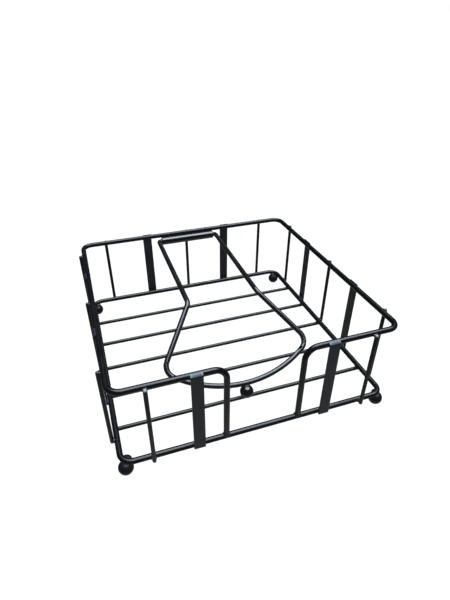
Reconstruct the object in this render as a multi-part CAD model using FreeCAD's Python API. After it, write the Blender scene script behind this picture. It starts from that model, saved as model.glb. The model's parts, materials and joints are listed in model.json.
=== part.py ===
"""Tabletop napkin holder: a welded wire basket on ball feet, with a hinged hold-down arm.

Millimetres, +Z up. The origin is on the table, under the centre of the basket.
The front of the basket, with the hand cut-out, faces -Y, and the arm's hinge is at the back.
"""
import FreeCAD
import Part
import math
import os

Vector = FreeCAD.Vector

# ---- Basket, between wire centrelines ----
BASKET_WIDTH = 190.0
BASKET_DEPTH = 190.0
BASKET_HEIGHT = 60.0
RAIL_DIAMETER = 4.0
TOP_CORNER_RADIUS = 8.0
BOTTOM_CORNER_RADIUS = 8.0
CUTOUT_WIDTH = 52.0
CUTOUT_BEND_RADIUS = 9.0

# ---- Uprights, welded outside the two rails ----
UPRIGHT_DIAMETER = 2.7
UPRIGHT_INSET = 20.0           # basket corner to the outermost upright
UPRIGHT_OVERHANG = 2.0         # below the bottom rail's centreline
UPRIGHT_END_ROUND = 0.8        # the top end's rounding starts level with the top rail's centreline
STRIP_WIDTH = 7.8
STRIP_THICKNESS = 1.2
STRIP_OVERHANG = 1.5           # below the bottom rail's centreline
STRIP_HOOK_ANGLE = 70.0        # how far a strip curls over the top rail
STRIP_TIP_THICKNESS = 0.3      # the curled end is pressed thin
FRONT_STRIP_OFFSET = 19.0      # cut-out upright to the strip beside it

# ---- Floor, welded under the bottom rail ----
FLOOR_WIRE_DIAMETER = 3.0
FLOOR_WIRE_COUNT = 5
FLOOR_WIRE_END_ROUND = 0.6

# ---- Feet ----
FOOT_DIAMETER = 10.0
FOOT_FLAT_DIAMETER = 3.0       # small ground flat that the foot stands on
WELD_SEAT = 0.1                # how deep a wire is pressed into a ball it is welded to

# ---- Hinge tube, welded under the back of the top rail ----
TUBE_DIAMETER = 7.0
TUBE_LENGTH = 49.6
TUBE_CHAMFER = 0.4
TUBE_UPRIGHT_GAP = 0.3         # tube to the upright behind it
HINGE_CLEARANCE = 0.08         # radial, arm wire in tube

# ---- Hold-down arm ----
ARM_WIRE_DIAMETER = 4.0
ARM_END_GAP = 0.3              # tube end to the start of the arm's bend
ARM_STUB_LENGTH = 20.0         # straight wire inside the tube, at each end
ARM_ROOT_INNER_RADIUS = 0.4    # inside of the bend just beyond the tube's end
ARM_KINK_BEND_RADIUS = 8.0
ARM_LOOP_LENGTH = 67.0         # kink to the middle of the front arc, down the slope
ARM_KINK_DROP = 2.5            # the kink lies this far below the hinge axis
ARM_SPREAD_ANGLE = 32.2        # the loop's sides open out by this much
ARM_CORNER_RADIUS = 9.0
ARM_FRONT_RADIUS = 88.0
WEIGHT_DIAMETER = 10.0
WEIGHT_TILT = 15.0             # the weight hangs this far forward of straight below the arc
WEIGHT_AHEAD = 1.5             # weight's centre to the front floor wire's
REST_GAP = 0.3                 # weight to the floor wire that stops it

# ---- Places worked out from the sizes ----
RAIL_RADIUS = RAIL_DIAMETER / 2
UPRIGHT_RADIUS = UPRIGHT_DIAMETER / 2
FLOOR_WIRE_RADIUS = FLOOR_WIRE_DIAMETER / 2
FOOT_RADIUS = FOOT_DIAMETER / 2
TUBE_RADIUS = TUBE_DIAMETER / 2
ARM_RADIUS = ARM_WIRE_DIAMETER / 2
ARM_ROOT_BEND_RADIUS = ARM_RADIUS + ARM_ROOT_INNER_RADIUS
WEIGHT_RADIUS = WEIGHT_DIAMETER / 2

HALF_WIDTH = BASKET_WIDTH / 2
HALF_DEPTH = BASKET_DEPTH / 2
FOOT_CENTRE_Z = math.sqrt(FOOT_RADIUS ** 2 - (FOOT_FLAT_DIAMETER / 2) ** 2)
BOTTOM_RAIL_Z = FOOT_CENTRE_Z + FOOT_RADIUS + RAIL_RADIUS - WELD_SEAT
TOP_RAIL_Z = BOTTOM_RAIL_Z + BASKET_HEIGHT
UPRIGHT_LOW_Z = BOTTOM_RAIL_Z - UPRIGHT_OVERHANG
STRIP_LOW_Z = BOTTOM_RAIL_Z - STRIP_OVERHANG
UPRIGHT_HIGH_Z = TOP_RAIL_Z + UPRIGHT_END_ROUND
FLOOR_WIRE_Z = BOTTOM_RAIL_Z - RAIL_RADIUS - FLOOR_WIRE_RADIUS
FLOOR_WIRE_PITCH = BASKET_DEPTH / (FLOOR_WIRE_COUNT + 1)
FRONT_FLOOR_WIRE_Y = FLOOR_WIRE_PITCH - HALF_DEPTH

# the tube touches the back rail from below, just clear of the uprights on the rail's outer side
TUBE_TO_RAIL = RAIL_RADIUS + TUBE_RADIUS
HINGE_Y = HALF_DEPTH + RAIL_RADIUS - TUBE_UPRIGHT_GAP - TUBE_RADIUS
HINGE_Z = TOP_RAIL_Z - math.sqrt(TUBE_TO_RAIL ** 2 - (HALF_DEPTH - HINGE_Y) ** 2)

# the weight lies on the front floor wire, and the arm's front arc lies on the weight
WEIGHT_Y = FRONT_FLOOR_WIRE_Y - WEIGHT_AHEAD
WEIGHT_REACH = WEIGHT_RADIUS + FLOOR_WIRE_RADIUS + REST_GAP
WEIGHT_Z = FLOOR_WIRE_Z + math.sqrt(WEIGHT_REACH ** 2 - WEIGHT_AHEAD ** 2)
WEIGHT_TO_ARC = WEIGHT_RADIUS + ARM_RADIUS - WELD_SEAT
ARC_MIDDLE_Y = WEIGHT_Y + WEIGHT_TO_ARC * math.sin(math.radians(WEIGHT_TILT))
ARC_MIDDLE_Z = WEIGHT_Z + WEIGHT_TO_ARC * math.cos(math.radians(WEIGHT_TILT))

# the legs run forward from the hinge, and the loop slopes down from their kinks to the arc
ARM_LEG_X = TUBE_LENGTH / 2 + ARM_END_GAP + ARM_ROOT_BEND_RADIUS
KINK_Z = HINGE_Z - ARM_KINK_DROP
LOOP_SLOPE = math.asin((KINK_Z - ARC_MIDDLE_Z) / ARM_LOOP_LENGTH)
KINK_Y = ARC_MIDDLE_Y + ARM_LOOP_LENGTH * math.cos(LOOP_SLOPE)


def rounded_run(points, radii):
    """Edges of straight runs through the points, with a tangent arc at each inner point."""
    edges = []
    start = points[0]
    for before, corner, after, radius in zip(points, points[1:], points[2:], radii):
        back = (before - corner).normalize()
        ahead = (after - corner).normalize()
        half_angle = back.getAngle(ahead) / 2
        trim = radius / math.tan(half_angle)
        arc_start = corner + back * trim
        arc_end = corner + ahead * trim
        bisector = (back + ahead).normalize()
        arc_middle = corner + bisector * (radius / math.sin(half_angle) - radius)
        edges.append(Part.makeLine(start, arc_start))
        edges.append(Part.Arc(arc_start, arc_middle, arc_end).toShape())
        start = arc_end
    edges.append(Part.makeLine(start, points[-1]))
    return edges


def bent_wire(edges, diameter):
    """Round wire of the given diameter, swept along edges that meet end to end."""
    path = Part.Wire(edges)
    first = path.OrderedEdges[0]
    start = path.OrderedVertexes[0].Point
    direction = first.tangentAt(first.FirstParameter)
    section = Part.Wire(Part.makeCircle(diameter / 2, start, direction))
    return path.makePipeShell([section], True, False)


def round_ends(cylinder, radius):
    """The cylinder with both end edges rounded."""
    ends = [edge for edge in cylinder.Edges if edge.isClosed()]
    return cylinder.makeFillet(radius, ends)


def along(origin, first, a, second, b):
    """The point a along one direction and b along another, from the origin."""
    return origin + first * a + second * b


# ---- Rails ----
def make_bottom_rail():
    """Closed square ring of heavy wire with rounded corners."""
    corner_x = HALF_WIDTH - BOTTOM_CORNER_RADIUS
    corner_y = HALF_DEPTH - BOTTOM_CORNER_RADIUS
    runs = []
    for sign in (-1, 1):
        across = Vector(-corner_x, sign * HALF_DEPTH, BOTTOM_RAIL_Z)
        runs.append(Part.makeCylinder(RAIL_RADIUS, 2 * corner_x, across, Vector(1, 0, 0)))
        deep = Vector(sign * HALF_WIDTH, -corner_y, BOTTOM_RAIL_Z)
        runs.append(Part.makeCylinder(RAIL_RADIUS, 2 * corner_y, deep, Vector(0, 1, 0)))
    for quarter, (sign_x, sign_y) in enumerate([(1, 1), (-1, 1), (-1, -1), (1, -1)]):
        bend = Part.makeTorus(BOTTOM_CORNER_RADIUS, RAIL_RADIUS, Vector(0, 0, 0), Vector(0, 0, 1),
                              -180, 180, 90)
        bend.rotate(Vector(0, 0, 0), Vector(0, 0, 1), 90 * quarter)
        bend.translate(Vector(sign_x * corner_x, sign_y * corner_y, BOTTOM_RAIL_Z))
        runs.append(bend)
    ring = runs[0].fuse(runs[1:])
    return ring.removeSplitter()


def make_top_rail(bottom_rail):
    """One heavy wire: up from the bottom rail, round the basket's mouth and down again."""
    front = -HALF_DEPTH
    half_cutout = CUTOUT_WIDTH / 2
    points = [
        Vector(-half_cutout, front, BOTTOM_RAIL_Z),
        Vector(-half_cutout, front, TOP_RAIL_Z),
        Vector(-HALF_WIDTH, front, TOP_RAIL_Z),
        Vector(-HALF_WIDTH, HALF_DEPTH, TOP_RAIL_Z),
        Vector(HALF_WIDTH, HALF_DEPTH, TOP_RAIL_Z),
        Vector(HALF_WIDTH, front, TOP_RAIL_Z),
        Vector(half_cutout, front, TOP_RAIL_Z),
        Vector(half_cutout, front, BOTTOM_RAIL_Z),
    ]
    corners = [TOP_CORNER_RADIUS] * 4
    radii = [CUTOUT_BEND_RADIUS] + corners + [CUTOUT_BEND_RADIUS]
    wire = bent_wire(rounded_run(points, radii), RAIL_DIAMETER)
    # the two ends are shaped to the bottom rail that they are welded on
    return wire.cut(bottom_rail)


# ---- Uprights ----
# each side has the middle of its rail, the direction along it and the direction outward
SIDES = {
    "front": (Vector(0, -HALF_DEPTH, 0), Vector(1, 0, 0), Vector(0, -1, 0)),
    "back": (Vector(0, HALF_DEPTH, 0), Vector(1, 0, 0), Vector(0, 1, 0)),
    "left": (Vector(-HALF_WIDTH, 0, 0), Vector(0, 1, 0), Vector(-1, 0, 0)),
    "right": (Vector(HALF_WIDTH, 0, 0), Vector(0, 1, 0), Vector(1, 0, 0)),
}


def make_upright_wire(side, offset):
    """Thin wire welded outside both rails, at an offset along the side."""
    middle, forward, outward = SIDES[side]
    foot = along(middle, forward, offset, outward, RAIL_RADIUS + UPRIGHT_RADIUS)
    foot.z = UPRIGHT_LOW_Z
    height = UPRIGHT_HIGH_Z - UPRIGHT_LOW_Z
    wire = Part.makeCylinder(UPRIGHT_RADIUS, height, foot, Vector(0, 0, 1))
    return round_ends(wire, UPRIGHT_END_ROUND)


def make_upright_strip(side, offset):
    """Flat strip welded outside both rails, with its top end pressed thin and curled over."""
    middle, forward, outward = SIDES[side]
    edge = along(middle, forward, offset - STRIP_WIDTH / 2, outward, 0)
    up = Vector(0, 0, 1)
    outer_radius = RAIL_RADIUS + STRIP_THICKNESS
    tip_radius = RAIL_RADIUS + STRIP_TIP_THICKNESS

    def curl(radius, degrees):
        """Point on a circle round the top rail, at an angle above the outward direction."""
        turn = math.radians(degrees)
        rise = TOP_RAIL_Z + radius * math.sin(turn)
        return along(edge, outward, radius * math.cos(turn), up, rise)

    inner_foot = along(edge, outward, RAIL_RADIUS, up, STRIP_LOW_Z)
    outer_foot = along(edge, outward, outer_radius, up, STRIP_LOW_Z)
    half_hook = STRIP_HOOK_ANGLE / 2
    inner_curl = [curl(RAIL_RADIUS, angle) for angle in (0, half_hook, STRIP_HOOK_ANGLE)]
    outer_curl = [curl(tip_radius, STRIP_HOOK_ANGLE),
                  curl((outer_radius + tip_radius) / 2, half_hook),
                  curl(outer_radius, 0)]
    outline = Part.Wire([
        Part.makeLine(inner_foot, inner_curl[0]),
        Part.Arc(*inner_curl).toShape(),
        Part.makeLine(inner_curl[2], outer_curl[0]),
        Part.Arc(*outer_curl).toShape(),
        Part.makeLine(outer_curl[2], outer_foot),
        Part.makeLine(outer_foot, inner_foot),
    ])
    return Part.Face(outline).extrude(forward * STRIP_WIDTH)


# ---- Floor and feet ----
def make_floor_wire(number):
    """Thin wire across the floor, counted from the front, flush with the rails' outer sides."""
    length = BASKET_WIDTH + RAIL_DIAMETER
    start = Vector(-length / 2, number * FLOOR_WIRE_PITCH - HALF_DEPTH, FLOOR_WIRE_Z)
    wire = Part.makeCylinder(FLOOR_WIRE_RADIUS, length, start, Vector(1, 0, 0))
    return round_ends(wire, FLOOR_WIRE_END_ROUND)


def make_foot(sign_x, sign_y, bottom_rail):
    """Steel ball under the middle of a corner bend, seated on the rail, with a ground flat."""
    bend_middle = BOTTOM_CORNER_RADIUS * (1 - math.cos(math.radians(45)))
    centre = Vector(sign_x * (HALF_WIDTH - bend_middle), sign_y * (HALF_DEPTH - bend_middle),
                    FOOT_CENTRE_Z)
    ball = Part.makeSphere(FOOT_RADIUS, centre)
    corner = centre - Vector(FOOT_DIAMETER, FOOT_DIAMETER, FOOT_CENTRE_Z + FOOT_DIAMETER)
    below_table = Part.makeBox(2 * FOOT_DIAMETER, 2 * FOOT_DIAMETER, FOOT_DIAMETER, corner)
    return ball.cut(below_table).cut(bottom_rail)


# ---- Hinge tube and arm ----
def make_hinge_tube():
    """Tube that carries the arm's two ends, with chamfered rims."""
    start = Vector(-TUBE_LENGTH / 2, HINGE_Y, HINGE_Z)
    outside = Part.makeCylinder(TUBE_RADIUS, TUBE_LENGTH, start, Vector(1, 0, 0))
    rims = [edge for edge in outside.Edges if edge.isClosed()]
    outside = outside.makeChamfer(TUBE_CHAMFER, rims)
    bore = Part.makeCylinder(ARM_RADIUS + HINGE_CLEARANCE, TUBE_LENGTH, start, Vector(1, 0, 0))
    return outside.cut(bore)


def on_slope(x, down):
    """Point of the arm's loop, x across and some distance down the slope from the kink."""
    return Vector(x, KINK_Y - down * math.cos(LOOP_SLOPE), KINK_Z - down * math.sin(LOOP_SLOPE))


def half_arm_edges():
    """Right half of the arm's centreline, from inside the tube to the middle of the front arc."""
    spread = math.radians(ARM_SPREAD_ANGLE)
    side = Vector(math.sin(spread), math.cos(spread), 0)
    inward = Vector(-side.y, side.x, 0)
    kink = Vector(ARM_LEG_X, 0, 0)
    arc_centre = Vector(0, ARM_LOOP_LENGTH - ARM_FRONT_RADIUS, 0)

    # the corner arc touches the side and, from within, the front arc
    offset_start = kink + inward * ARM_CORNER_RADIUS
    reach = offset_start - arc_centre
    along_side = reach.dot(side)
    room = (ARM_FRONT_RADIUS - ARM_CORNER_RADIUS) ** 2 - reach.dot(reach) + along_side ** 2
    side_length = math.sqrt(room) - along_side
    corner_centre = offset_start + side * side_length
    side_end = kink + side * side_length
    outward = (corner_centre - arc_centre).normalize()
    front_start = arc_centre + outward * ARM_FRONT_RADIUS
    corner_middle = corner_centre + (outward - inward).normalize() * ARM_CORNER_RADIUS
    front_turn = math.atan2(front_start.x, front_start.y - arc_centre.y) / 2
    front_middle = arc_centre + Vector(math.sin(front_turn), math.cos(front_turn), 0) * ARM_FRONT_RADIUS

    stub_end = Vector(TUBE_LENGTH / 2 - ARM_STUB_LENGTH, HINGE_Y, HINGE_Z)
    root = Vector(ARM_LEG_X, HINGE_Y, HINGE_Z)
    edges = rounded_run([stub_end, root, on_slope(kink.x, 0), on_slope(side_end.x, side_end.y)],
                        [ARM_ROOT_BEND_RADIUS, ARM_KINK_BEND_RADIUS])
    corner = [on_slope(point.x, point.y) for point in (side_end, corner_middle, front_start)]
    front = [on_slope(point.x, point.y) for point in (front_start, front_middle)]
    edges.append(Part.Arc(*corner).toShape())
    edges.append(Part.Arc(front[0], front[1], on_slope(0, ARM_LOOP_LENGTH)).toShape())
    return edges


def make_arm():
    """Hold-down arm: one wire, both ends in the tube, with two legs and a sloping front loop."""
    right = half_arm_edges()
    left = [edge.mirror(Vector(0, 0, 0), Vector(1, 0, 0)) for edge in right]
    return bent_wire(Part.sortEdges(right + left)[0], ARM_WIRE_DIAMETER)


def make_arm_weight(arm):
    """Steel ball welded under the middle of the arm's front arc."""
    ball = Part.makeSphere(WEIGHT_RADIUS, Vector(0, WEIGHT_Y, WEIGHT_Z))
    return ball.cut(arm)


# ---- The whole holder ----
OUTER_WIRE_X = HALF_WIDTH - UPRIGHT_INSET
OUTER_WIRE_Y = HALF_DEPTH - UPRIGHT_INSET
FRONT_STRIP_X = CUTOUT_WIDTH / 2 + FRONT_STRIP_OFFSET

bottom_rail = make_bottom_rail()
arm = make_arm()
nodes = {
    "bottom_rail": bottom_rail,
    "top_rail": make_top_rail(bottom_rail),
    "hinge_tube": make_hinge_tube(),
    "hold_down_arm": arm,
    "arm_weight": make_arm_weight(arm),
}

for number in range(1, FLOOR_WIRE_COUNT + 1):
    nodes[f"floor_wire_{number}"] = make_floor_wire(number)

for hand, sign in (("left", -1), ("right", 1)):
    nodes[f"front_wire_{hand}"] = make_upright_wire("front", sign * OUTER_WIRE_X)
    nodes[f"front_strip_{hand}"] = make_upright_strip("front", sign * FRONT_STRIP_X)
    nodes[f"back_wire_{hand}"] = make_upright_wire("back", sign * OUTER_WIRE_X)
    nodes[f"back_strip_{hand}"] = make_upright_strip("back", sign * OUTER_WIRE_X / 2)
    nodes[f"{hand}_wire_middle"] = make_upright_wire(hand, 0)
    for end, direction in (("front", -1), ("back", 1)):
        nodes[f"{hand}_wire_{end}"] = make_upright_wire(hand, direction * OUTER_WIRE_Y)
        nodes[f"{hand}_strip_{end}"] = make_upright_strip(hand, direction * OUTER_WIRE_Y / 2)
        nodes[f"foot_{end}_{hand}"] = make_foot(sign, direction, bottom_rail)
nodes["back_wire_middle"] = make_upright_wire("back", 0)

os.makedirs("parts", exist_ok=True)
for name, shape in nodes.items():
    shape.exportStep(f"parts/{name}.step")
    print(name, "solids", len(shape.Solids), "valid", shape.isValid(), "volume", round(shape.Volume, 1))
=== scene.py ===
"""Looks of a tabletop napkin holder: a welded wire basket on ball feet, with a hinged arm.

Everything is in metres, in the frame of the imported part. Sizes written here are in millimetres.
"""

import json
import math

import bpy
import numpy as np
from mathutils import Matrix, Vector


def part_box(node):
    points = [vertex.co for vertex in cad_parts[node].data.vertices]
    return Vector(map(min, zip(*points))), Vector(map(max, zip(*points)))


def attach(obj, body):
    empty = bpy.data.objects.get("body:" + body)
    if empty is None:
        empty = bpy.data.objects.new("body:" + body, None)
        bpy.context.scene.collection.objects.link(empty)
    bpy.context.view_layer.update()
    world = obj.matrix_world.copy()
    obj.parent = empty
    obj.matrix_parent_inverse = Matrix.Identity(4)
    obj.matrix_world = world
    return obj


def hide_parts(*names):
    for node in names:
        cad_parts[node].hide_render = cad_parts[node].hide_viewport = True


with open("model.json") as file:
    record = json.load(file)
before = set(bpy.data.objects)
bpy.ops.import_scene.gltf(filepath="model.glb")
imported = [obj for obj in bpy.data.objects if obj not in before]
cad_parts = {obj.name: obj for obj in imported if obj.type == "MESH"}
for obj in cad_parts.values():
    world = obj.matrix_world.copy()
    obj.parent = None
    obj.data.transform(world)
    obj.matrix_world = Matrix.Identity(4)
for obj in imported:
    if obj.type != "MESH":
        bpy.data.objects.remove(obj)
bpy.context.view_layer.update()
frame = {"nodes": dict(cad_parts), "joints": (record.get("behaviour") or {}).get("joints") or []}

# ---- Bottom rail ----
# One 4 mm steel wire bent into a square with rounded corners and butt welded into a ring.
# It carries the floor wires below it, the uprights outside it and the four ball feet.
MM = 0.001
AROUND_RAIL = 32
BOTTOM_CORNER_RADIUS = 8 * MM
RAIL_BLACKS = ((0.0028, 0.0031, 0.0038), (0.0060, 0.0068, 0.0080))
RAIL_WORN = (0.045, 0.048, 0.054)
# the coat's patterns: scales are per metre
DRIFT_SCALE = 70.0
DRIFT_RANGE = (0.32, 0.72)
DUST_SCALE = 900.0
DUST_RANGE = (0.70, 0.80)
DUST_SHARE = 0.25
SMOOTHEST = -0.05
ROUGHEST = 0.08
MARKED_ROUGHER = 0.25
PEBBLE_STRENGTH = 0.35


def powder_coat(name, shades, wear_and_highlight_grey, gloss, roughness, pebble_mm, pebble_depth_mm):
    """Satin black powder coat.

    Colour drifts between the two shades on a noise of some 14 mm, the surface is pebbled by a
    noise of pebble_mm, a few specks of dust lie in it, and a per-vertex attribute (0 to 1) turns it
    towards a lighter grey and makes it rougher. That grey is real wear where hands and napkins rub,
    and on the front strips' curls and the front uprights' tops it is a painted highlight.
    """
    material = bpy.data.materials.new(name)
    material.use_nodes = True
    nodes = material.node_tree.nodes
    links = material.node_tree.links
    shader = nodes["Principled BSDF"]
    shader.inputs["Specular IOR Level"].default_value = gloss
    shader.inputs["Metallic"].default_value = 0.0
    place = nodes.new("ShaderNodeTexCoord")

    drift = nodes.new("ShaderNodeTexNoise")
    drift.inputs["Scale"].default_value = DRIFT_SCALE
    drift.inputs["Detail"].default_value = 4.0
    links.new(place.outputs["Object"], drift.inputs["Vector"])
    tone = nodes.new("ShaderNodeValToRGB")
    tone.color_ramp.elements[0].position = DRIFT_RANGE[0]
    tone.color_ramp.elements[0].color = (*shades[0], 1)
    tone.color_ramp.elements[1].position = DRIFT_RANGE[1]
    tone.color_ramp.elements[1].color = (*shades[1], 1)
    links.new(drift.outputs["Fac"], tone.inputs["Fac"])

    dust = nodes.new("ShaderNodeTexNoise")
    dust.inputs["Scale"].default_value = DUST_SCALE
    dust.inputs["Detail"].default_value = 2.0
    links.new(place.outputs["Object"], dust.inputs["Vector"])
    specks = nodes.new("ShaderNodeMapRange")
    specks.inputs["From Min"].default_value = DUST_RANGE[0]
    specks.inputs["From Max"].default_value = DUST_RANGE[1]
    links.new(dust.outputs["Fac"], specks.inputs["Value"])

    # a per-vertex attribute greys the coat: real wear, and a painted highlight on the front strips'
    # curls and the front uprights' tops
    marks = nodes.new("ShaderNodeAttribute")
    marks.attribute_name = "rub"
    patchy = nodes.new("ShaderNodeMath")
    patchy.operation = "MULTIPLY"
    links.new(marks.outputs["Fac"], patchy.inputs[0])
    links.new(drift.outputs["Fac"], patchy.inputs[1])
    greying = nodes.new("ShaderNodeMath")
    greying.operation = "MULTIPLY_ADD"
    greying.use_clamp = True
    greying.inputs[1].default_value = 2.0
    links.new(patchy.outputs[0], greying.inputs[0])
    dusty = nodes.new("ShaderNodeMath")
    dusty.operation = "MULTIPLY"
    dusty.inputs[1].default_value = DUST_SHARE
    links.new(specks.outputs["Result"], dusty.inputs[0])
    links.new(dusty.outputs[0], greying.inputs[2])
    colour = nodes.new("ShaderNodeMix")
    colour.data_type = "RGBA"
    colour.inputs["B"].default_value = (*wear_and_highlight_grey, 1)
    links.new(tone.outputs["Color"], colour.inputs["A"])
    links.new(greying.outputs[0], colour.inputs["Factor"])
    links.new(colour.outputs["Result"], shader.inputs["Base Color"])

    sheen = nodes.new("ShaderNodeMapRange")
    sheen.inputs["To Min"].default_value = roughness + SMOOTHEST
    sheen.inputs["To Max"].default_value = roughness + ROUGHEST
    links.new(drift.outputs["Fac"], sheen.inputs["Value"])
    dull = nodes.new("ShaderNodeMath")
    dull.operation = "MULTIPLY_ADD"
    dull.use_clamp = True
    dull.inputs[1].default_value = MARKED_ROUGHER
    links.new(greying.outputs[0], dull.inputs[0])
    links.new(sheen.outputs["Result"], dull.inputs[2])
    links.new(dull.outputs[0], shader.inputs["Roughness"])

    pebbles = nodes.new("ShaderNodeTexNoise")
    pebbles.inputs["Scale"].default_value = 1.0 / (pebble_mm * MM)
    pebbles.inputs["Detail"].default_value = 3.0
    pebbles.inputs["Roughness"].default_value = 0.45
    links.new(place.outputs["Object"], pebbles.inputs["Vector"])
    relief = nodes.new("ShaderNodeBump")
    relief.inputs["Strength"].default_value = PEBBLE_STRENGTH
    relief.inputs["Distance"].default_value = pebble_depth_mm * MM
    links.new(pebbles.outputs["Fac"], relief.inputs["Height"])
    links.new(relief.outputs["Normal"], shader.inputs["Normal"])
    return material


def bent_line(corners, radii, step=7.5):
    """Centreline of a bent wire: straight runs through the corners, each inner corner rounded.

    A bend is the arc that touches both its runs. Its middle lies on the bisector of the two runs,
    radius / sin(half the angle between them) from the corner, and the runs stop
    radius / tan(half the angle) short of the corner. An arc has a point every step degrees.
    """
    points = [np.asarray(corners[0])[None]]
    for before, corner, after, radius in zip(corners, corners[1:], corners[2:], radii):
        back = (before - corner) / np.linalg.norm(before - corner)
        ahead = (after - corner) / np.linalg.norm(after - corner)
        half = math.acos(np.clip(back @ ahead, -1, 1)) / 2
        bisector = (back + ahead) / np.linalg.norm(back + ahead)
        centre = corner + bisector * radius / math.sin(half)
        turn = math.pi - 2 * half
        steps = max(3, math.ceil(math.degrees(turn) / step))
        angle = np.linspace(-turn / 2, turn / 2, steps + 1)[:, None]
        across = (ahead - back) / np.linalg.norm(ahead - back)
        points.append(centre - bisector * radius * np.cos(angle) + across * radius * np.sin(angle))
    points.append(np.asarray(corners[-1])[None])
    return np.concatenate(points)


def wire_rings(line, radius, around, closed=False):
    """Grid of points of a round wire along a line: one ring of points for each point of the line.

    A ring's point is line + radius (side cos a + over sin a). side is the unit cross product of
    the line's tangent with a slanting direction that no wire here runs along, and over is the cross
    product of tangent and side, so rings stay square to the line. radius may change along it.
    """
    if closed:
        ahead = np.roll(line, -1, axis=0) - line
        behind = line - np.roll(line, 1, axis=0)
    else:
        gaps = np.diff(line, axis=0)
        ahead = np.concatenate([gaps, gaps[-1:]])
        behind = np.concatenate([gaps[:1], gaps])
    ahead = ahead / np.linalg.norm(ahead, axis=1, keepdims=True)
    behind = behind / np.linalg.norm(behind, axis=1, keepdims=True)
    tangent = ahead + behind
    tangent /= np.linalg.norm(tangent, axis=1, keepdims=True)
    side = np.cross(tangent, (0.43, 0.71, 0.56))
    side /= np.linalg.norm(side, axis=1, keepdims=True)
    over = np.cross(tangent, side)
    angle = np.linspace(0, 2 * math.pi, around, endpoint=False)[None, :, None]
    size = np.broadcast_to(np.asarray(radius, float), (len(line),))[:, None, None]
    return line[:, None] + size * (side[:, None] * np.cos(angle) + over[:, None] * np.sin(angle))


def skin(rings, closed=False):
    """Vertices and faces over a grid of rings that wrap round.

    A closed grid joins its last ring to its first. An open one ends in a fan to the middle of each
    end ring. Faces run so that their normals point out of the tube.
    """
    count, around = rings.shape[:2]
    number = np.arange(count * around).reshape(count, around)
    beside = np.roll(number, -1, axis=1)
    rows = slice(0, count if closed else count - 1)
    after = np.roll(number, -1, axis=0)
    after_beside = np.roll(beside, -1, axis=0)
    quads = np.stack([number, beside, after_beside, after], axis=-1)[rows].reshape(-1, 4)
    vertices = rings.reshape(-1, 3)
    faces = quads.tolist()
    if not closed:
        poles = np.stack([rings[0].mean(axis=0), rings[-1].mean(axis=0)])
        first = np.stack([np.full(around, len(vertices)), beside[0], number[0]], axis=-1)
        last = np.stack([np.full(around, len(vertices) + 1), number[-1], beside[-1]], axis=-1)
        vertices = np.concatenate([vertices, poles])
        faces += first.tolist() + last.tolist()
    return vertices, faces


def steel_piece(name, shells, coat, body, slot, *nodes):
    """Finished piece from one or more shells, each (vertices, faces, and the value at each vertex
    that greys the coat, for wear and for painted highlights).
    """
    counts = np.cumsum([0] + [len(shell[0]) for shell in shells])
    vertices = np.concatenate([shell[0] for shell in shells])
    faces = [[start + corner for corner in face]
             for start, shell in zip(counts, shells) for face in shell[1]]
    mesh = bpy.data.meshes.new(name)
    mesh.from_pydata(vertices.tolist(), [], faces)
    rub = np.concatenate([np.broadcast_to(np.asarray(shell[2], float), (len(shell[0]),))
                          for shell in shells])
    mesh.attributes.new("rub", "FLOAT", "POINT").data.foreach_set("value", rub.astype(np.float32))
    mesh.polygons.foreach_set("use_smooth", np.ones(len(faces), bool))
    mesh.materials.append(coat)
    piece = bpy.data.objects.new(name, mesh)
    bpy.context.scene.collection.objects.link(piece)
    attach(piece, body)
    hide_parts(*nodes)


rail_coat = powder_coat("rail_coat", RAIL_BLACKS, RAIL_WORN, gloss=0.44, roughness=0.24,
                        pebble_mm=0.9, pebble_depth_mm=0.06)
rail_low, rail_high = (np.array(corner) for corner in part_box("bottom_rail"))
rail_radius = (rail_high[2] - rail_low[2]) / 2
half_width = rail_high[0] - rail_radius
half_depth = rail_high[1] - rail_radius
bottom_z = rail_low[2] + rail_radius
bottom_square = [np.array([0, -half_depth, bottom_z])]
for sign_x, sign_y in ((1, -1), (1, 1), (-1, 1), (-1, -1)):
    bottom_square.append(np.array([sign_x * half_width, sign_y * half_depth, bottom_z]))
bottom_square.append(bottom_square[0])
bottom_line = bent_line(bottom_square, [BOTTOM_CORNER_RADIUS] * 4)[:-1]
bottom_skin = skin(wire_rings(bottom_line, rail_radius, AROUND_RAIL, closed=True), closed=True)
steel_piece("bottom_rail_ring", [(*bottom_skin, 0)], rail_coat, "basket", "rail", "bottom_rail")

# ---- Top rail ----
# One 4 mm wire goes up from the bottom rail at one side of the hand cut-out, round the mouth of
# the basket and down again at the other side. Both ends are arc welded on top of the bottom rail,
# and the weld flares round their feet.
TOP_CORNER_RADIUS = 8 * MM
CUTOUT_WIDTH = 52 * MM
CUTOUT_BEND_RADIUS = 9 * MM
FLARE_HEIGHT = 2.6 * MM
FLARE_WIDTH = 0.9 * MM
FLARE_START = 0.55
FLARE_RUB = 0.35
FLARE_STATIONS = 9

top_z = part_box("top_rail")[1][2] - rail_radius
cut = CUTOUT_WIDTH / 2
top_corners = [np.array(point) for point in (
    (-cut, -half_depth, bottom_z), (-cut, -half_depth, top_z),
    (-half_width, -half_depth, top_z), (-half_width, half_depth, top_z),
    (half_width, half_depth, top_z), (half_width, -half_depth, top_z),
    (cut, -half_depth, top_z), (cut, -half_depth, bottom_z))]
top_radii = [CUTOUT_BEND_RADIUS] + [TOP_CORNER_RADIUS] * 4 + [CUTOUT_BEND_RADIUS]
top_line = bent_line(top_corners, top_radii)
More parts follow.
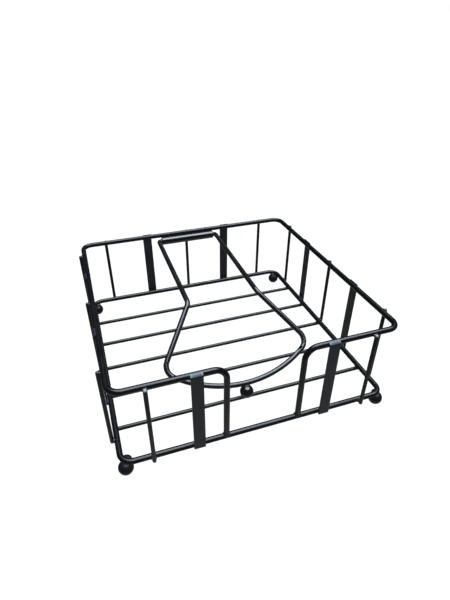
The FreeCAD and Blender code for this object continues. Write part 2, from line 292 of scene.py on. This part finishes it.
# stations close together in the flare: its width falls off as the square of what is left of it,
# from FLARE_START of the bottom rail's radius up
flare_steps = np.linspace(0, 1, FLARE_STATIONS)
flare_rise = bottom_z + rail_radius * FLARE_START + flare_steps * FLARE_HEIGHT
left_foot = np.stack([0 * flare_rise - cut, 0 * flare_rise - half_depth, flare_rise], axis=-1)
right_foot = left_foot[::-1] * (-1, 1, 1)
top_line = np.concatenate([left_foot, top_line[1:-1], right_foot])
flare = FLARE_WIDTH * (1 - flare_steps) ** 2
top_radius = np.full(len(top_line), rail_radius)
top_radius[:FLARE_STATIONS] += flare
top_radius[-FLARE_STATIONS:] += flare[::-1]
top_wear_and_highlight = np.zeros(len(top_line))
top_wear_and_highlight[:FLARE_STATIONS] = top_wear_and_highlight[-FLARE_STATIONS:] = FLARE_RUB
top_skin = skin(wire_rings(top_line, top_radius, AROUND_RAIL))
top_wear_and_highlight = np.concatenate([np.repeat(top_wear_and_highlight, AROUND_RAIL), [0, 0]])
steel_piece("top_rail_wire", [(*top_skin, top_wear_and_highlight)], rail_coat, "basket", "rail", "top_rail")

# ---- Thin uprights ----
# Straight 2.7 mm wires with their cut ends tumbled round, resistance welded to the outside of
# both rails. At each crossing the squeezed-out metal leaves a small collar in the crevice.
WIRE_BLACKS = ((0.0040, 0.0041, 0.0044), (0.0080, 0.0083, 0.0088))
# the grey the wire coat turns to where it is worn, and on the front uprights' domed tops, where it
# is a painted highlight
WIRE_WEAR_AND_HIGHLIGHT_GREY = (0.33, 0.34, 0.40)
wire_coat = powder_coat("wire_coat", WIRE_BLACKS, WIRE_WEAR_AND_HIGHLIGHT_GREY, gloss=0.46, roughness=0.26,
                        pebble_mm=0.8, pebble_depth_mm=0.05)
AROUND_WIRE = 24
END_STATIONS = 6
END_RUB = 0.1
# the front uprights' domed tops are painted light grey as a highlight; the other tops get a little
# wear
FRONT_TOP_HIGHLIGHT = 1.0
OTHER_TOP_RUB = 0.12
UPRIGHT_END_ROUND = 1.1 * MM
# a collar is sized by the wires that cross: NUGGET_BITE is a share of the thin wire's radius and
# NUGGET_REACH one of the rail's, a little less at the top rail
NUGGET_SPREAD = 0.6 * MM
NUGGET_BITE = 0.85
NUGGET_REACH = 0.75
TOP_NUGGET_SHARE = 0.8
TOP_NUGGET_DROP = 0.3 * MM
NUGGET_RUB = 0.04
NUGGET_ROWS = 11
AROUND_NUGGET = 20


def rounded_wire(low, high, axis, end_round, top_wear_and_highlight=END_RUB):
    """Straight round wire that fills the box low to high along one axis, with rounded ends.

    Near an end the radius is R - e + e sin t while the distance from the end is e (1 - cos t).
    The far end is greyed by top_wear_and_highlight: a little wear, and on the front uprights a
    painted highlight.
    """
    others = [i for i in range(3) if i != axis]
    centre = (low + high) / 2
    radius = (high[others[0]] - low[others[0]]) / 2
    turn = np.linspace(0, math.pi / 2, END_STATIONS)
    inset = end_round * (1 - np.cos(turn))
    narrow = radius - end_round + end_round * np.sin(turn)
    along = np.concatenate([low[axis] + inset, high[axis] - inset[::-1]])
    line = np.tile(centre, (len(along), 1))
    line[:, axis] = along
    rings = wire_rings(line, np.concatenate([narrow, narrow[::-1]]), AROUND_WIRE)
    end_marks = np.concatenate([np.linspace(END_RUB, 0, END_STATIONS),
                           np.linspace(0, top_wear_and_highlight, END_STATIONS)])
    return (*skin(rings), np.concatenate([np.repeat(end_marks, AROUND_WIRE), [END_RUB, top_wear_and_highlight]]))


def nugget(centre, half_sizes, power=0.8):
    """Weld metal about a centre, such as the collar between two crossing wires.

    A point is centre + half sizes times (cos u cos v, cos u sin v, sin u) with each part raised to
    the power: 1 gives a smooth ellipsoid, and less than 1 squares its shoulders.
    """
    u = np.linspace(-math.pi / 2, math.pi / 2, NUGGET_ROWS)[1:-1, None]
    v = np.linspace(0, 2 * math.pi, AROUND_NUGGET, endpoint=False)[None]
    unit = np.stack([np.cos(u) * np.cos(v), np.cos(u) * np.sin(v), np.sin(u) + 0 * v], axis=-1)
    unit = np.sign(unit) * np.abs(unit) ** power
    return (*skin(centre + unit * half_sizes), NUGGET_RUB)


def upright_place(low, high):
    """Axis (0 or 1) that points out of the basket at this upright, and its sign there."""
    centre = (low + high) / 2
    axis = 0 if abs(centre[0]) > half_width else 1
    return axis, math.copysign(1, centre[axis])


upright_nodes = [node for node in frame["nodes"] if "_wire_" in node and "floor" not in node]
for node in sorted(upright_nodes):
    low, high = (np.array(corner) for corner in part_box(node))
    axis, out = upright_place(low, high)
    # the front uprights get the painted highlight on their tops, the others a little wear
    top_wear_and_highlight = FRONT_TOP_HIGHLIGHT if node.startswith("front") else OTHER_TOP_RUB
    shells = [rounded_wire(low, high, 2, UPRIGHT_END_ROUND, top_wear_and_highlight)]
    thin = (high[axis] - low[axis]) / 2
    for rail_z, share in ((bottom_z, 1.0), (top_z - TOP_NUGGET_DROP, TOP_NUGGET_SHARE)):
        touch = (low + high) / 2
        touch[axis] -= out * thin
        touch[2] = rail_z
        spread = np.full(3, thin + NUGGET_SPREAD)
        spread[axis] = NUGGET_BITE * thin
        spread[2] = rail_radius * NUGGET_REACH * share
        shells.append(nugget(touch, spread))
    steel_piece("upright_" + node.replace("_wire", ""), shells, wire_coat, "basket",
                "thin_wire", node)

# ---- Flat strips ----
# Mild steel strip, 7.8 by 1.2 mm, sheared to length and welded outside both rails. The top end is
# curled over the top rail and pressed thin in the welding; the bottom end is left square, just
# below the bottom rail.
STRIP_BLACKS = ((0.0092, 0.0125, 0.0165), (0.0135, 0.0180, 0.0230))
# the grey the strip coat turns to: a painted highlight on the front strips' curls, a little wear
# elsewhere
STRIP_WEAR_AND_HIGHLIGHT_GREY = (0.19, 0.225, 0.285)
strip_coat = powder_coat("strip_coat", STRIP_BLACKS, STRIP_WEAR_AND_HIGHLIGHT_GREY, gloss=0.45, roughness=0.34,
                         pebble_mm=1.1, pebble_depth_mm=0.03)
STRIP_THICKNESS = 1.2 * MM
STRIP_TIP_THICKNESS = 0.3 * MM
STRIP_EDGE = 0.25 * MM
STRIP_TIP_SHRINK = 0.1 * MM
STRIP_CURL = math.radians(70)
CURL_STATIONS = 22
STRAIGHT_STATIONS = 6
EDGE_STATIONS = 4
# the curl's grey is a band round its edges and a share of it across the face: on the front strips a
# painted highlight with a brighter border
EDGE_BAND_INSET = 1.8 * MM
EDGE_BAND_FADE = 1.2 * MM
FACE_SHARE = 0.45
FRONT_TIP_HIGHLIGHT = 0.95
OTHER_TIP_RUB = 0.08
SEAM_SINK = 0.1 * MM
SEAM_PROUD = 0.35 * MM
SEAM_DEPTH = 0.9 * MM
SEAM_HEIGHT = 0.7


def face_points(values):
    """Values round the strip's sections with four more between the corners of each broad face."""
    share = np.linspace(0, 1, 6)[1:-1]
    outer = values[:, 3:4] * (1 - share) + values[:, 4:5] * share
    inner = values[:, 11:12] * (1 - share) + values[:, 12:13] * share
    return np.concatenate([values[:, :4], outer, values[:, 4:12], inner, values[:, 12:]], axis=1)


def curled_strip(low, high, axis, out, top_wear_and_highlight):
    """Strip that stands outside both rails and curls over the top one.

    Its inner face goes straight up to the height of the top rail's middle and then lies on the
    rail. Its outer face is one thickness further out along the normal, and the thickness falls
    evenly with the angle round the rail. Each section is a rectangle with rounded corners. The
    curl is greyed by top_wear_and_highlight, most of all round its edges: on the front strips this
    is a painted highlight with a brighter border, on the others a little wear.
    """
    turn = np.linspace(0, STRIP_CURL, CURL_STATIONS)
    quarter = np.linspace(0, math.pi / 2, EDGE_STATIONS)
    foot = STRIP_EDGE * (1 - np.cos(quarter))
    straight = np.concatenate([low[2] + foot, np.linspace(low[2] + 2 * MM, top_z - 1 * MM,
                                                          STRAIGHT_STATIONS)])
    lean = np.concatenate([np.zeros(len(straight)), turn])
    rise = np.concatenate([straight, np.full(len(turn), top_z)])
    thickness = STRIP_THICKNESS + (STRIP_TIP_THICKNESS - STRIP_THICKNESS) * lean / STRIP_CURL
    shrink = np.zeros(len(rise))
    shrink[:EDGE_STATIONS] = STRIP_EDGE - np.sqrt(STRIP_EDGE ** 2 - (STRIP_EDGE - foot) ** 2)
    shrink[-1] = STRIP_TIP_SHRINK
    edge = np.minimum(STRIP_EDGE, 0.45 * thickness)[:, None]
    half = (high[1 - axis] - low[1 - axis]) / 2
    across = []
    outward = []
    for number, (side_x, side_y) in enumerate([(1, 1), (-1, 1), (-1, -1), (1, -1)]):
        angle = quarter[None] + number * math.pi / 2
        across.append(side_x * (half - shrink[:, None] - edge) + edge * np.cos(angle))
        outward.append(side_y * (thickness[:, None] / 2 - edge) + edge * np.sin(angle))
    # four more points across each broad face, for the wear to follow
    across = face_points(np.concatenate(across, axis=1))
    outward = face_points(np.concatenate(outward, axis=1)) * (1 - shrink / STRIP_THICKNESS)[:, None]
    distance = rail_radius + thickness[:, None] / 2 + outward
    rings = np.empty((*across.shape, 3))
    rings[..., 1 - axis] = (low[1 - axis] + high[1 - axis]) / 2 + across
    rail_place = half_width if axis == 0 else half_depth
    rings[..., axis] = out * (rail_place + distance * np.cos(lean)[:, None])
    rings[..., 2] = rise[:, None] + distance * np.sin(lean)[:, None]
    upward = np.cross(rings[0, 8] - rings[0, 0], rings[0, 12] - rings[0, 8])[2]
    if upward < 0:
        rings = rings[:, ::-1]
    # the grey is strongest round the edges all along the curl, and across the middle of the face
    # only where the curl begins: a painted highlight on the front strips, faint wear on the others
    edge_band = np.clip((np.abs(across) - half + EDGE_BAND_INSET) / EDGE_BAND_FADE, 0, 1)
    edge_band = np.maximum(edge_band, np.clip(1.6 - lean / STRIP_CURL * 4, 0, 1)[:, None])
    over_rail = np.clip(lean / STRIP_CURL * 10 - 2.2, 0, 1)[:, None]
    rub = top_wear_and_highlight * over_rail * (FACE_SHARE + (1 - FACE_SHARE) * edge_band)
    return (*skin(rings), np.concatenate([rub.ravel(), [0, top_wear_and_highlight]]))


strip_nodes = [node for node in frame["nodes"] if "_strip_" in node]
for node in sorted(strip_nodes):
    low, high = (np.array(corner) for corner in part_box(node))
    axis, out = upright_place(low, high)
    # the front strips get the painted highlight on their curls, the others a little wear
    top_wear_and_highlight = FRONT_TIP_HIGHLIGHT if node.startswith("front") else OTHER_TIP_RUB
    shells = [curled_strip(low, high, axis, out, top_wear_and_highlight)]
    rail_place = half_width if axis == 0 else half_depth
    for rail_z in (bottom_z, top_z):
        touch = (low + high) / 2
        touch[axis] = out * (rail_place + rail_radius - SEAM_SINK)
        touch[2] = rail_z
        spread = np.full(3, rail_radius * SEAM_HEIGHT)
        spread[1 - axis] = (high[1 - axis] - low[1 - axis]) / 2 + SEAM_PROUD
        spread[axis] = SEAM_DEPTH
        shells.append(nugget(touch, spread))
    steel_piece(node.replace("strip", "flat_strip"), shells, strip_coat, "basket", "strip", node)

# ---- Floor wires ----
# Five 3 mm wires run across under the bottom rail, cut flush with its outer sides and welded to
# it at both ends. The napkins lie on them.
FLOOR_END_ROUND = 0.55 * MM
floor_nodes = [node for node in frame["nodes"] if node.startswith("floor_wire")]
for node in sorted(floor_nodes):
    low, high = (np.array(corner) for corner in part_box(node))
    shells = [rounded_wire(low, high, 0, FLOOR_END_ROUND)]
    thin = (high[2] - low[2]) / 2
    for sign in (-1, 1):
        touch = np.array([sign * half_width, (low[1] + high[1]) / 2, high[2]])
        spread = np.array([rail_radius * NUGGET_REACH, thin + NUGGET_SPREAD, NUGGET_BITE * thin])
        shells.append(nugget(touch, spread))
    steel_piece(node.replace("wire", "cross_wire"), shells, wire_coat, "basket", "thin_wire", node)

# ---- Ball feet ----
# Four 10 mm steel balls, each welded under the middle of a corner bend of the bottom rail, with a
# small flat ground on it to stand on. The weld leaves a bead on the inside of the bend, a heavier
# one at the front left.
ball_coat = powder_coat("ball_coat", RAIL_BLACKS, RAIL_WORN, gloss=0.36, roughness=0.30,
                        pebble_mm=1.2, pebble_depth_mm=0.03)
BEAD_SIZE = np.array([2.4, 2.4, 1.3]) * MM
BEAD_INSIDE = 0.9 * MM
BEAD_RISE = 0.5 * MM
HEAVY_BEAD_SIZE = np.array([3.7, 3.7, 1.4]) * MM
HEAVY_BEAD_INSIDE = 1.0 * MM
HEAVY_BEAD_RISE = 1.0 * MM
FOOT_FLAT_RADIUS = 1.5 * MM
FLAT_RUB = 1.0
BALL_RUB = 0.05
BALL_ROWS = 40
AROUND_BALL = 48
POLE_GAP = 0.02


def ball(centre, radius, flat_z):
    """Steel ball cut off flat at a height: centre + radius (cos u cos v, cos u sin v, sin u).

    u starts where the ball meets the flat, and the first fan of faces is the flat itself. With no
    flat it starts just off the pole, which the fan closes.
    """
    lowest = -math.pi / 2 + POLE_GAP
    if flat_z is not None:
        lowest = math.asin((flat_z - centre[2]) / radius)
    u = np.linspace(lowest, math.pi / 2 - POLE_GAP, BALL_ROWS)[:, None]
    v = np.linspace(0, 2 * math.pi, AROUND_BALL, endpoint=False)[None]
    unit = np.stack([np.cos(u) * np.cos(v), np.cos(u) * np.sin(v), np.sin(u) + 0 * v], axis=-1)
    vertices, faces = skin(centre + unit * radius)
    rub = np.repeat(np.where(np.arange(BALL_ROWS) < 2, FLAT_RUB, BALL_RUB), AROUND_BALL)
    return vertices, faces, np.concatenate([rub, [FLAT_RUB, BALL_RUB]])


foot_nodes = [node for node in frame["nodes"] if node.startswith("foot")]
for node in sorted(foot_nodes):
    low, high = (np.array(corner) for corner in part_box(node))
    radius = (high[0] - low[0]) / 2
    centre = (low + high) / 2
    centre[2] = math.sqrt(radius ** 2 - FOOT_FLAT_RADIUS ** 2) + low[2]
    shells = [ball(centre, radius, low[2])]
    heavy = node == "foot_front_left"
    inside = HEAVY_BEAD_INSIDE if heavy else BEAD_INSIDE
    bead = centre - np.sign(centre) * (inside, inside, 0)
    bead[2] += radius + (HEAVY_BEAD_RISE if heavy else BEAD_RISE)
    shells.append(nugget(bead, HEAVY_BEAD_SIZE if heavy else BEAD_SIZE, 1.0))
    steel_piece(node.replace("foot", "ball_foot"), shells, ball_coat, "basket", "ball", node)

# ---- Hinge tube ----
# A short piece of 7 mm steel tube, sawn and chamfered, tack welded under the back of the top
# rail in three places. The arm's wire turns in its bore.
tube_coat = powder_coat("tube_coat", RAIL_BLACKS, RAIL_WORN, gloss=1.0, roughness=0.20,
                        pebble_mm=1.0, pebble_depth_mm=0.04)
TUBE_CHAMFER = 0.4 * MM
RIM_RING_GAP = 0.2 * MM
ARM_RADIUS = 2 * MM
BORE_CLEARANCE = 0.08 * MM
AROUND_TUBE = 48
TACK_PLACES = (-17 * MM, 0.0, 17 * MM)
TACK_SIZE = np.array([1.5, 0.8, 0.5]) * MM

joint = frame["joints"][0]
hinge_y, hinge_z = joint["pos_m"][1:]
tube_low, tube_high = (np.array(corner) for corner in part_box("hinge_tube"))
tube_radius = (tube_high[2] - tube_low[2]) / 2
bore = ARM_RADIUS + BORE_CLEARANCE
half_tube = tube_high[0]
# the profile runs along the outside, over the chamfered rims and back along the bore, and a
# second ring just inside each rim keeps the long faces' shading straight
rim = half_tube - TUBE_CHAMFER
near_rim = rim - RIM_RING_GAP
along = np.array([-rim, -near_rim, near_rim, rim, half_tube, half_tube, near_rim, -near_rim,
                  -half_tube, -half_tube])
rim_radius = tube_radius - TUBE_CHAMFER
profile_radius = np.array([tube_radius] * 4 + [rim_radius] + [bore] * 4 + [rim_radius])
around = np.linspace(0, 2 * math.pi, AROUND_TUBE, endpoint=False)[None]
tube_rings = np.stack([along[:, None] + 0 * around,
                       hinge_y + profile_radius[:, None] * np.cos(around),
                       hinge_z + profile_radius[:, None] * np.sin(around)], axis=-1)
tube_vertices, tube_faces = skin(tube_rings, closed=True)
# the sawn ends are worn, the long faces not
tube_rub = np.repeat(np.array([0.1, 0, 0, 0.1, 0.7, 0.5, 0.1, 0.1, 0.5, 0.7]), AROUND_TUBE)
tube_shells = [(tube_vertices, tube_faces, tube_rub)]
toward_rail = np.array([0, half_depth - hinge_y, top_z - hinge_z])
toward_rail /= np.linalg.norm(toward_rail)
for tack in TACK_PLACES:
    touch = np.array([tack, hinge_y, hinge_z]) + toward_rail * tube_radius
    tube_shells.append(nugget(touch, TACK_SIZE))
steel_piece("hinge_tube_sleeve", tube_shells, tube_coat, "basket", "tube", "hinge_tube")

# ---- Hold-down arm ----
# One 4 mm wire, bent cold. Its two ends lie in the tube; the legs run forward, kink down and
# spread into a wide loop with a shallow curved front, which rests in front of the napkins' middle.
arm_coat = powder_coat("arm_coat", RAIL_BLACKS, RAIL_WORN, gloss=0.70, roughness=0.20,
                       pebble_mm=0.9, pebble_depth_mm=0.05)
STUB_LENGTH = 20 * MM
END_GAP = 0.3 * MM
ROOT_BEND_RADIUS = 2.4 * MM
KINK_BEND_RADIUS = 8 * MM
KINK_DROP = 2.5 * MM
LOOP_LENGTH = 67.0 * MM
LOOP_SPREAD = math.radians(32.2)
LOOP_CORNER_RADIUS = 9 * MM
LOOP_FRONT_RADIUS = 88 * MM
ARM_BEND_STEP = 3
ARM_RUB = 0.1

arm_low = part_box("hold_down_arm")[0]
leg_across = half_tube + END_GAP + ROOT_BEND_RADIUS
front_y = arm_low[1] + ARM_RADIUS
front_z = arm_low[2] + ARM_RADIUS
kink_z = hinge_z - KINK_DROP
slope = math.asin((kink_z - front_z) / LOOP_LENGTH)
kink_y = front_y + LOOP_LENGTH * math.cos(slope)
# in the loop's plane: the corner arc touches the side and, from inside, the front arc
side = np.array([math.sin(LOOP_SPREAD), math.cos(LOOP_SPREAD)])
inward = np.array([-side[1], side[0]])
inner_start = np.array([leg_across, 0]) + inward * LOOP_CORNER_RADIUS
front_centre = np.array([0, LOOP_LENGTH - LOOP_FRONT_RADIUS])
reach = inner_start - front_centre
room = (LOOP_FRONT_RADIUS - LOOP_CORNER_RADIUS) ** 2 - reach @ reach + (reach @ side) ** 2
side_length = math.sqrt(room) - reach @ side
corner_centre = inner_start + side * side_length
outward = (corner_centre - front_centre) / np.linalg.norm(corner_centre - front_centre)
front_tangent = np.array([-outward[1], outward[0]])
front_start = front_centre + outward * LOOP_FRONT_RADIUS
# the corner of the bent line is where the side meets the front arc's end tangent
crossing = np.linalg.solve(np.array([side, front_tangent]).T,
                           front_start - np.array([leg_across, 0]))
loop_corner = np.array([leg_across, 0]) + side * crossing[0]
front_corner = np.array([0, front_start[1] + front_tangent[1] * front_start[0]
                         / -front_tangent[0]])


def on_slope(across, down):
    """Point of the loop's sloping plane: kink + across X + down along the slope."""
    return np.array([across, kink_y - down * math.cos(slope), kink_z - down * math.sin(slope)])


right_corners = [np.array([half_tube - STUB_LENGTH, hinge_y, hinge_z]),
                 np.array([leg_across, hinge_y, hinge_z]), on_slope(leg_across, 0),
                 on_slope(*loop_corner)]
left_corners = [corner * (-1, 1, 1) for corner in right_corners[::-1]]
arm_radii = [ROOT_BEND_RADIUS, KINK_BEND_RADIUS, LOOP_CORNER_RADIUS, LOOP_FRONT_RADIUS,
             LOOP_CORNER_RADIUS, KINK_BEND_RADIUS, ROOT_BEND_RADIUS]
arm_line = bent_line(right_corners + [on_slope(*front_corner)] + left_corners, arm_radii,
                     ARM_BEND_STEP)
arm_skin = skin(wire_rings(arm_line, ARM_RADIUS, AROUND_RAIL))
steel_piece("hold_down_wire", [(*arm_skin, ARM_RUB)], arm_coat, "arm", "arm", "hold_down_arm")

# ---- Weight ----
# A 10 mm steel ball welded under the middle of the arm's front curve, which keeps the arm down on
# the napkins and gives the fingers something to lift.
WEIGHT_WELD_SIZE = np.array([2.6, 1.9, 0.9]) * MM
weight_coat = powder_coat("weight_coat", RAIL_BLACKS, RAIL_WORN, gloss=0.75, roughness=0.14,
                          pebble_mm=1.2, pebble_depth_mm=0.02)
weight_low, weight_high = (np.array(corner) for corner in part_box("arm_weight"))
weight_radius = (weight_high[0] - weight_low[0]) / 2
weight_centre = np.array([0, (weight_low[1] + weight_high[1]) / 2, weight_low[2] + weight_radius])
arc_middle = np.array([0, front_y, front_z])
to_arc = (arc_middle - weight_centre) / np.linalg.norm(arc_middle - weight_centre)
weight_shells = [ball(weight_centre, weight_radius, None),
                 nugget(weight_centre + to_arc * weight_radius, WEIGHT_WELD_SIZE)]
steel_piece("hold_down_weight", weight_shells, weight_coat, "arm", "ball", "arm_weight")

# ---- Table, light and camera ----
# A white table under a wide soft light from above and a little behind, with white all round.
# The camera looks down on the front of the basket, from a little to its left.
ROOM_GLOW = 0.03
TABLE_GLOW = 0.33
TABLE_WHITE = (0.66, 0.623, 0.586)
TABLE_ROUGHNESS = 0.9
TABLE_REACH = 40.0
floor_mesh = bpy.data.meshes.new("table_top")
floor_mesh.from_pydata([(-TABLE_REACH, -TABLE_REACH, 0), (TABLE_REACH, -TABLE_REACH, 0),
                        (TABLE_REACH, TABLE_REACH, 0), (-TABLE_REACH, TABLE_REACH, 0)], [],
                       [(0, 1, 2, 3)])
table = bpy.data.objects.new("table_top", floor_mesh)
bpy.context.scene.collection.objects.link(table)
white = bpy.data.materials.new("table_white")
white.use_nodes = True
white_shader = white.node_tree.nodes["Principled BSDF"]
white_shader.inputs["Base Color"].default_value = (*TABLE_WHITE, 1)
white_shader.inputs["Roughness"].default_value = TABLE_ROUGHNESS
floor_mesh.materials.append(white)
table.visible_glossy = False

# the room shows white to the camera; the coat reflects a dark room and, below it, the pale table,
# which lies in the directions whose height is under GLOW_LOW
GLOW_LOW = -0.75
GLOW_HIGH = -0.30
world = bpy.data.worlds.new("white_room")
world.use_nodes = True
world_nodes = world.node_tree.nodes
world_links = world.node_tree.links
direction = world_nodes.new("ShaderNodeTexCoord")
height = world_nodes.new("ShaderNodeSeparateXYZ")
world_links.new(direction.outputs["Generated"], height.inputs["Vector"])
glow = world_nodes.new("ShaderNodeMapRange")
glow.inputs["From Min"].default_value = GLOW_LOW
glow.inputs["From Max"].default_value = GLOW_HIGH
glow.inputs["To Min"].default_value = TABLE_GLOW
glow.inputs["To Max"].default_value = ROOM_GLOW
world_links.new(height.outputs["Z"], glow.inputs["Value"])
seen_by = world_nodes.new("ShaderNodeLightPath")
room_light = world_nodes.new("ShaderNodeMapRange")
room_light.inputs["To Max"].default_value = 1.0
world_links.new(seen_by.outputs["Is Camera Ray"], room_light.inputs["Value"])
world_links.new(glow.outputs["Result"], room_light.inputs["To Min"])
world_nodes["Background"].inputs["Color"].default_value = (1, 1, 1, 1)
world_links.new(room_light.outputs["Result"], world_nodes["Background"].inputs["Strength"])
bpy.context.scene.world = world

# one wide soft lamp overhead, a little to the back and the right; its light is shadowless, as
# under a tent
OVERHEAD_AIM = (0.18, 0.06, 0.98)
OVERHEAD_STRENGTH = 6.0
OVERHEAD_SPREAD = math.radians(62)
OVERHEAD_COLOUR = (0.86, 0.93, 1.0)
overhead = bpy.data.lights.new("overhead_softlight", "SUN")
overhead.energy = OVERHEAD_STRENGTH
overhead.angle = OVERHEAD_SPREAD
overhead.color = OVERHEAD_COLOUR
overhead.use_shadow = False
overhead_lamp = bpy.data.objects.new("overhead_softlight", overhead)
overhead_lamp.rotation_euler = Vector(OVERHEAD_AIM).to_track_quat("Z", "Y").to_euler()
bpy.context.scene.collection.objects.link(overhead_lamp)

CAMERA_PLACE = (-0.089758, -0.274995, 0.234051 + bottom_z)
CAMERA_TURN = (56.4457, -0.1361, -19.0151)
CAMERA_LENS = 26.128
SENSOR_WIDTH = 36
camera_data = bpy.data.cameras.new("camera")
camera_data.lens = CAMERA_LENS
camera_data.sensor_width = SENSOR_WIDTH
camera_data.clip_start = 0.01
camera = bpy.data.objects.new("camera", camera_data)
camera.location = CAMERA_PLACE
camera.rotation_euler = [math.radians(angle) for angle in CAMERA_TURN]
bpy.context.scene.collection.objects.link(camera)
bpy.context.scene.camera = camera
bpy.context.scene.view_settings.view_transform = "Standard"
